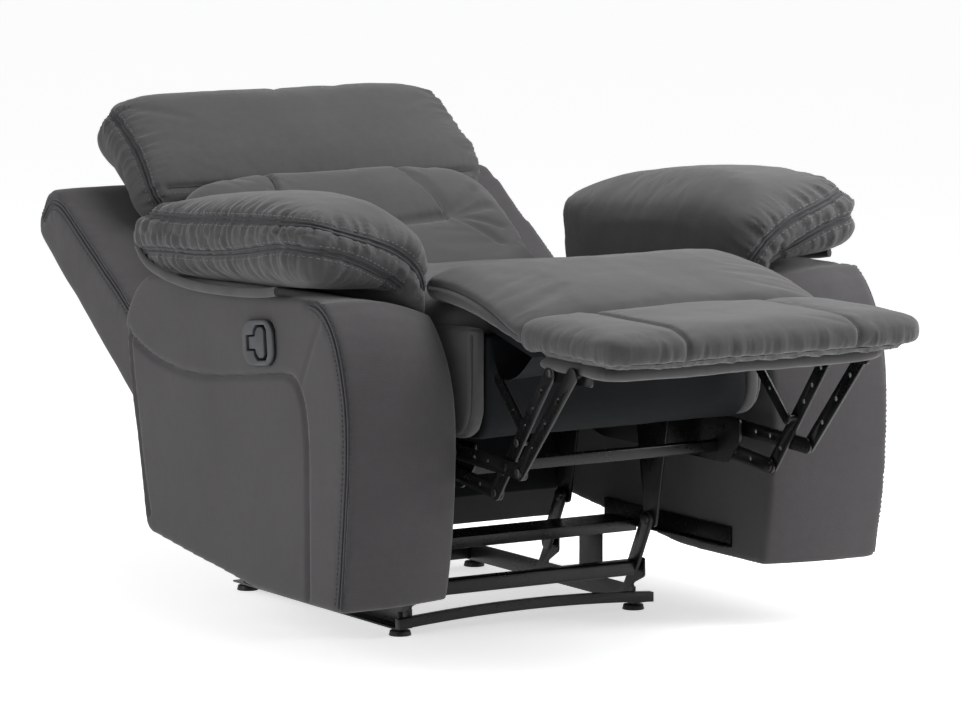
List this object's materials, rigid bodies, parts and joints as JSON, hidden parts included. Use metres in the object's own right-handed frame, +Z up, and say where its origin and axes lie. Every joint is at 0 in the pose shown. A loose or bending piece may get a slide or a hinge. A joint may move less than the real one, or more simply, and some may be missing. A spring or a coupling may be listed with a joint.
{
  "type": "recliner armchair",
  "caption": "Upholstered recliner armchair with padded arms, folding footrest on a steel linkage, reclining back and a cable release handle.",
  "frame": {"origin": "on the floor under the middle of the reclined chair's outline", "axes": "+Z up, the sitter faces -Y, +X is the sitter's left"},
  "size_m": [1.028, 1.5015, 0.794],
  "materials": {
    "upholstery": "matte brushed suede-like weave in charcoal grey with double-needle seams",
    "lining": "plain matte black lining cloth over board",
    "black_steel": "satin black powder coat on pressed steel",
    "handle_plastic": "moulded dark grey plastic",
    "glides": "black moulded glide on a threaded stud"
  },
  "bodies": {
    "base": {"floor_rail_left": "black_steel", "floor_rail_right": "black_steel", "glide_front_left": "glides", "glide_front_right": "glides", "glide_rear_left": "glides", "glide_rear_right": "glides", "front_cross_bar": "black_steel", "rear_cross_bar": "black_steel", "arm_stretcher": "black_steel", "arm_angle_iron_left": "black_steel", "arm_angle_iron_right": "black_steel", "arm_outer_panel_left": "upholstery", "arm_outer_panel_right": "upholstery", "arm_inner_panel_left": "upholstery", "arm_inner_panel_right": "upholstery", "arm_front_panel_left": "upholstery", "arm_front_panel_right": "upholstery", "arm_top_and_rear_left": "upholstery", "arm_top_and_rear_right": "upholstery", "arm_pad_left": "upholstery", "arm_pad_right": "upholstery", "handle_housing": "handle_plastic", "release_cable": "handle_plastic"},
    "handle": {"handle_lever": "handle_plastic"},
    "front_carriers": {"front_carrier_left": "black_steel", "front_carrier_right": "black_steel", "carrier_cross_tube": "black_steel"},
    "rear_carriers": {"rear_carrier_left": "black_steel", "rear_carrier_right": "black_steel"},
    "seat": {"seat_plate_left": "black_steel", "seat_plate_right": "black_steel", "seat_side_rail_left": "upholstery", "seat_side_rail_right": "upholstery", "seat_front_rail": "lining", "seat_springs": "black_steel", "seat_cushion": "upholstery"},
    "back": {"back_board": "upholstery", "back_wing_left": "upholstery", "back_wing_right": "upholstery", "back_bracket_left": "black_steel", "back_bracket_right": "black_steel", "lumbar_cushion": "upholstery", "headrest_cushion": "upholstery"},
    "rear_links": {"rear_link_left": "black_steel", "rear_link_right": "black_steel", "link_cross_tube": "black_steel"},
    "outer_links": {"outer_link_left": "black_steel", "outer_link_right": "black_steel"},
    "front_links": {"front_link_left": "black_steel", "front_link_right": "black_steel"},
    "inner_links": {"inner_link_left": "black_steel", "inner_link_right": "black_steel"},
    "calf_links": {"calf_link_left": "black_steel", "calf_link_right": "black_steel"},
    "footrest": {"footrest_bracket_left": "black_steel", "footrest_bracket_right": "black_steel", "footrest_board": "lining", "footrest_pad": "upholstery"},
    "calf_flap": {"calf_board": "lining", "calf_pad": "upholstery"}
  },
  "joints": [
    {"name": "recline", "type": "hinge", "parent": "base", "child": "front_carriers", "pos_m": [0, -0.098, 0.075], "axis": [-1, 0, 0], "range_deg": [0, 72]},
    {"name": "seat_swing", "type": "hinge", "parent": "front_carriers", "child": "seat", "pos_m": [0, -0.14, 0.158], "axis": [-1, 0, 0], "range_deg": [-72, 0]},
    {"name": "rear_carrier_swing", "type": "hinge", "parent": "base", "child": "rear_carriers", "pos_m": [0, 0.152, 0.08], "axis": [-1, 0, 0], "range_deg": [0, 72]},
    {"name": "back_recline", "type": "hinge", "parent": "seat", "child": "back", "pos_m": [0, 0.184, 0.316], "axis": [1, 0, 0], "range_deg": [0, 36]},
    {"name": "footrest_fold", "type": "hinge", "parent": "seat", "child": "rear_links", "pos_m": [0, -0.2573, 0.2854], "axis": [1, 0, 0], "range_deg": [0, 130.6]},
    {"name": "knee_fold", "type": "hinge", "parent": "rear_links", "child": "outer_links", "pos_m": [0, -0.3984, 0.2705], "axis": [1, 0, 0], "range_deg": [-106.28, 0]},
    {"name": "footrest_tilt", "type": "hinge", "parent": "outer_links", "child": "footrest", "pos_m": [0, -0.547, 0.466], "axis": [1, 0, 0], "range_deg": [0, 65.68]},
    {"name": "front_link_fold", "type": "hinge", "parent": "seat", "child": "front_links", "pos_m": [0, -0.2921, 0.3194], "axis": [1, 0, 0], "range_deg": [0, 128.17]},
    {"name": "inner_link_fold", "type": "hinge", "parent": "front_links", "child": "inner_links", "pos_m": [0, -0.4805, 0.3114], "axis": [1, 0, 0], "range_deg": [-94.43, 0]},
    {"name": "calf_link_fold", "type": "hinge", "parent": "outer_links", "child": "calf_links", "pos_m": [0, -0.4608, 0.3526], "axis": [1, 0, 0], "range_deg": [0, 95.68]},
    {"name": "calf_flap_fold", "type": "hinge", "parent": "seat", "child": "calf_flap", "pos_m": [0, -0.338, 0.497], "axis": [1, 0, 0], "range_deg": [0, 76]},
    {"name": "handle_pull", "type": "hinge", "parent": "base", "child": "handle", "pos_m": [-0.485, -0.08619, 0.4776], "axis": [0, -0.1097, -0.994], "range_deg": [0, 30], "stiffness_Nm_per_rad": 0.6}
  ],
  "couplings": [
    {"joint": "seat_swing", "follows": "recline", "ratio": -1},
    {"joint": "rear_carrier_swing", "follows": "recline", "ratio": 1},
    {"joint": "back_recline", "follows": "recline", "ratio": 0.5},
    {"joint": "knee_fold", "follows": "footrest_fold", "ratio": -0.81378},
    {"joint": "footrest_tilt", "follows": "footrest_fold", "ratio": 0.50291},
    {"joint": "front_link_fold", "follows": "footrest_fold", "ratio": 0.98139},
    {"joint": "inner_link_fold", "follows": "footrest_fold", "ratio": -0.72305},
    {"joint": "calf_link_fold", "follows": "footrest_fold", "ratio": 0.73262},
    {"joint": "calf_flap_fold", "follows": "footrest_fold", "ratio": 0.58193}
  ]
}
